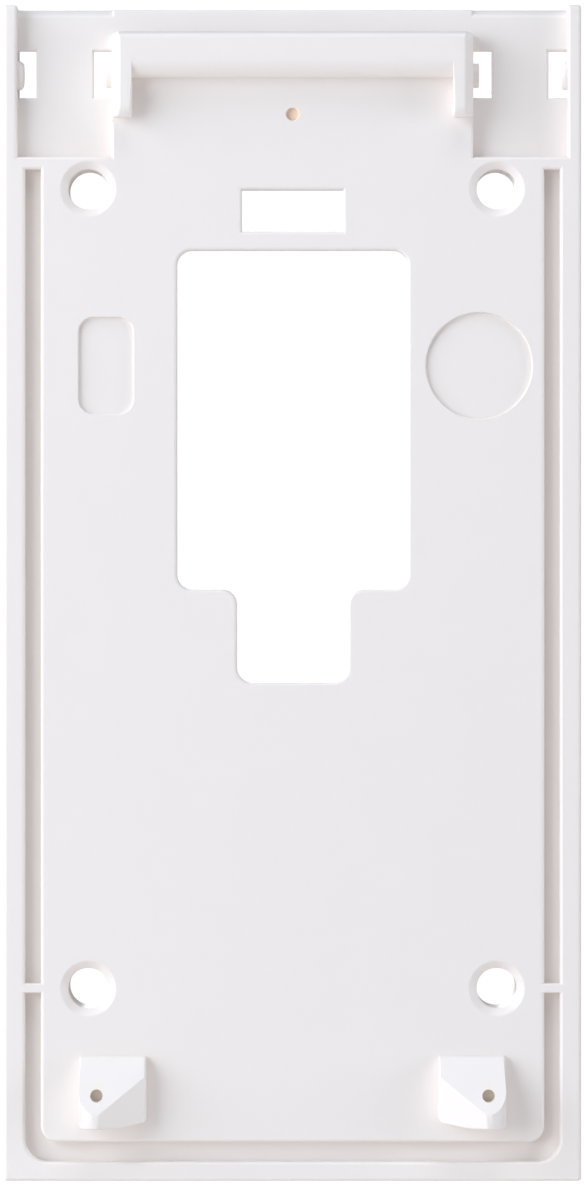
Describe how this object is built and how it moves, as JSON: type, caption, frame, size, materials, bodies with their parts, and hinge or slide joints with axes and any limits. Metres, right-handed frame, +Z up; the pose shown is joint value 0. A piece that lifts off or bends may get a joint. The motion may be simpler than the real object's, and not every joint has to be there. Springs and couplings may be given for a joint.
{
  "type": "video doorbell wall plate",
  "caption": "White moulded wall plate of a video doorbell: hinge bays and rail at the head, cable opening, countersunk wall screw holes, lock posts at the foot.",
  "frame": {"origin": "centre of the four wall screw holes, on the wall plane", "axes": "+Z up the plate, +Y into the wall, -Y out of the front face, +X to the right seen from the front"},
  "size_m": [0.065, 0.0124, 0.1324],
  "materials": {
    "white_abs": "fine satin, as moulded"
  },
  "bodies": {
    "root": {"front_panel": "white_abs", "perimeter_frame": "white_abs", "groove_channel": "white_abs", "groove_ribs": "white_abs", "left_hinge_bay": "white_abs", "right_hinge_bay": "white_abs", "top_ledge": "white_abs", "hinge_rail": "white_abs", "left_hinge_cheek": "white_abs", "right_hinge_cheek": "white_abs", "inner_hinge_pins": "white_abs", "outer_hinge_studs": "white_abs", "left_lock_post": "white_abs", "right_lock_post": "white_abs", "wall_screw_bosses": "white_abs", "back_ribs": "white_abs"}
  },
  "joints": []
}
